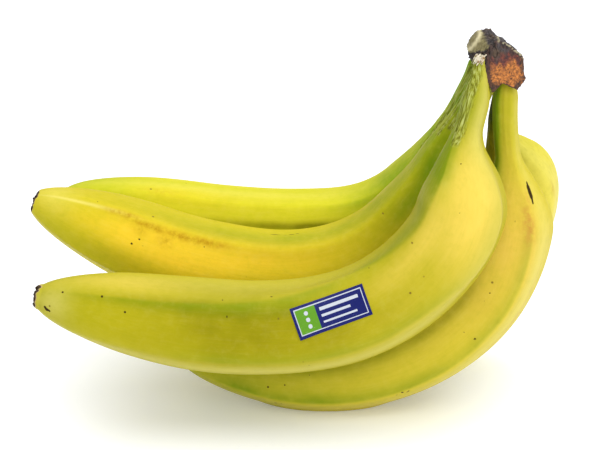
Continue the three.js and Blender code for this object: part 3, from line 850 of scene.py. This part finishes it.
def on_sheet(fruit, a, b):
    """Point of the skin that lies a along and b across from the sheet's middle, seen square to the
    sheet. The distance along and the angle are corrected in rounds until it does."""
    along, around = np.array(LABEL["along"]), np.array(LABEL["around"])
    middle = peel_point(fruit, along, around)
    side = peel_point(fruit, along, around + 0.5) - middle
    ahead = peel_point(fruit, along - 1, around) - middle
    side /= np.linalg.norm(side)
    ahead /= np.linalg.norm(ahead)
    cos, sin = math.cos(math.radians(LABEL["tilt"])), math.sin(math.radians(LABEL["tilt"]))
    right, up = ahead * cos + side * sin, side * cos - ahead * sin
    s, around = np.full(a.shape, LABEL["along"]), np.full(a.shape, LABEL["around"])
    for _ in range(SHEET_ROUNDS):
        offset = peel_point(fruit, s, around) - middle
        short_a, short_b = a - offset @ right, b - offset @ up
        s = s - short_a * cos + short_b * sin
        around = around + np.degrees((short_a * sin + short_b * cos) / fruit["body"])
    from_corner = np.hypot(a + LABEL["width"] / 2, b + LABEL["height"] / 2)
    curl = CORNER_CURL * smooth(CORNER_REACH, 0, from_corner)
    return peel_point(fruit, s, around, LABEL_LIFT + curl)


columns = round(LABEL["width"] / LABEL_CELL)
lines = round(LABEL["height"] / LABEL_CELL)
a, b = np.meshgrid((np.arange(columns + 1) / columns - 0.5) * LABEL["width"],
                   (np.arange(lines + 1) / lines - 0.5) * LABEL["height"], indexing="ij")
grid = np.arange(a.size).reshape(a.shape)
cells = np.stack([grid[:-1, :-1], grid[1:, :-1], grid[1:, 1:], grid[:-1, 1:]], -1).reshape(-1, 4)
label_mesh = bpy.data.meshes.new("label")
label_mesh.from_pydata(on_sheet(FRONT, a, b).reshape(-1, 3) * MM, [], cells.tolist())
label_mesh.shade_smooth()
label_mesh.attributes.new("print", "FLOAT_VECTOR", "POINT").data.foreach_set(
    "vector", np.stack([a, b, 0 * a], -1).ravel())


def bar(cell_a, cell_b, left, bottom, right, top):
    """True for the cells of a rectangle given by its corners in millimetres."""
    return (cell_a > left) & (cell_a < right) & (cell_b > bottom) & (cell_b < top)


cell_a = (a[:-1, :-1] + a[1:, 1:]).ravel() / 2
cell_b = (b[:-1, :-1] + b[1:, 1:]).ravel() / 2
BLUE, WHITE, GREEN = 0, 1, 2
ink = np.full(cell_a.size, BLUE)
# A thin white frame, a green panel in its left end, and white bars and dots.
frame_line = bar(cell_a, cell_b, -12.6, -4.7, 12.6, 4.7)
frame_line &= ~bar(cell_a, cell_b, -12.3, -4.4, 12.3, 4.4)
ink[frame_line] = WHITE
ink[bar(cell_a, cell_b, -12.3, -4.4, -5.0, 4.4)] = GREEN
for corners in ((-3.6, 1.6, 10.8, 2.9), (-3.6, -0.7, 7.2, 0.3), (-3.6, -2.9, 9.0, -2.1)):
    ink[bar(cell_a, cell_b, *corners)] = WHITE
for centre_b in (-2.4, 0, 2.4):
    ink[np.hypot(cell_a + 8.6, cell_b - centre_b) < 0.75] = WHITE
label_mesh.polygons.foreach_set("material_index", ink.astype(np.int32))

# Printing ink on coated paper under a clear film: even colour with a soft gloss, rubbed through to
# the paper in scratches about 2.3 mm long and 0.6 mm wide. The print attribute is in millimetres.
inks = []
for ink_name, code in (("blue", "#0c165c"), ("white", "#b9bec6"), ("green", "#568c1a")):
    ink_material, tree = new_material("printed_paper_" + ink_name)
    place = add(tree, "Attribute", out="Vector", attribute_name="print")
    stretched = add(tree, "VectorMath", {0: place, 1: (0.4, 1.6, 1)}, operation="MULTIPLY")
    rub = add(tree, "TexNoise", {
        "Vector": stretched, "Scale": 1.1, "Detail": 6, "Roughness": 0.75})
    worn = add(tree, "MapRange", {0: rub, 1: 0.62, 2: 0.75, 3: 0.0, 4: 0.55})
    colour = add(tree, "Mix", {0: worn, 6: code, 7: "#c9cdd6"}, out=2, data_type="RGBA")
    fold = add(tree, "Bump", {"Height": rub, "Strength": 0.3, "Distance": 0.3 * MM})
    film = add(tree, "BsdfPrincipled", {
        "Base Color": colour, "Roughness": 0.4, "Specular IOR Level": 0.2, "Normal": fold})
    add(tree, "OutputMaterial", {"Surface": film})
    inks.append(ink_material)

label = place_piece("label_paper", label_mesh, inks, "label")
wall = label.modifiers.new("paper", "SOLIDIFY")
wall.thickness = LABEL_THICKNESS * MM
wall.offset = -1


# The floor: white photographic paper, wide enough to fill the view, and so bright that it burns
# out to white behind the bunch.
FLOOR_HALF = 3
floor_corners = [(-FLOOR_HALF, -FLOOR_HALF, 0), (FLOOR_HALF, -FLOOR_HALF, 0),
                 (FLOOR_HALF, FLOOR_HALF, 0), (-FLOOR_HALF, FLOOR_HALF, 0)]
floor_mesh = bpy.data.meshes.new("floor")
floor_mesh.from_pydata(floor_corners, [], [(0, 1, 2, 3)])
floor_material, tree = new_material("white_background_paper")
paper = add(tree, "BsdfPrincipled", {
    "Base Color": "#f3f5fa", "Roughness": 0.9, "IOR": 1.4, "Emission Color": "#ffffff",
    "Emission Strength": 0.16})
add(tree, "OutputMaterial", {"Surface": paper})
floor_mesh.materials.append(floor_material)
floor = bpy.data.objects.new("floor", floor_mesh)
bpy.context.scene.collection.objects.link(floor)


# The light: a white tent all round, one big softbox overhead and a smaller one from the front
# right, both turned to the bunch.
tent = bpy.data.worlds.new("tent")
tent.use_nodes = True
tent_light = tent.node_tree.nodes["Background"].inputs
tent_light["Color"].default_value = (1, 1, 1, 1)
tent_light["Strength"].default_value = 0.5
bpy.context.scene.world = tent
for lamp_name, place, width, power in (("softbox", (0.15, 0, 1.3), 2.1, 26),
                                       ("front_box", (0.5, -1.1, 0.8), 1.2, 9)):
    lamp = bpy.data.lights.new(lamp_name, "AREA")
    lamp.shape = "SQUARE"
    lamp.size = width
    lamp.energy = power
    lamp_object = bpy.data.objects.new(lamp_name, lamp)
    lamp_object.location = place
    lamp_object.rotation_euler = (AIM - Vector(place)).to_track_quat("-Z", "Y").to_euler()
    bpy.context.scene.collection.objects.link(lamp_object)
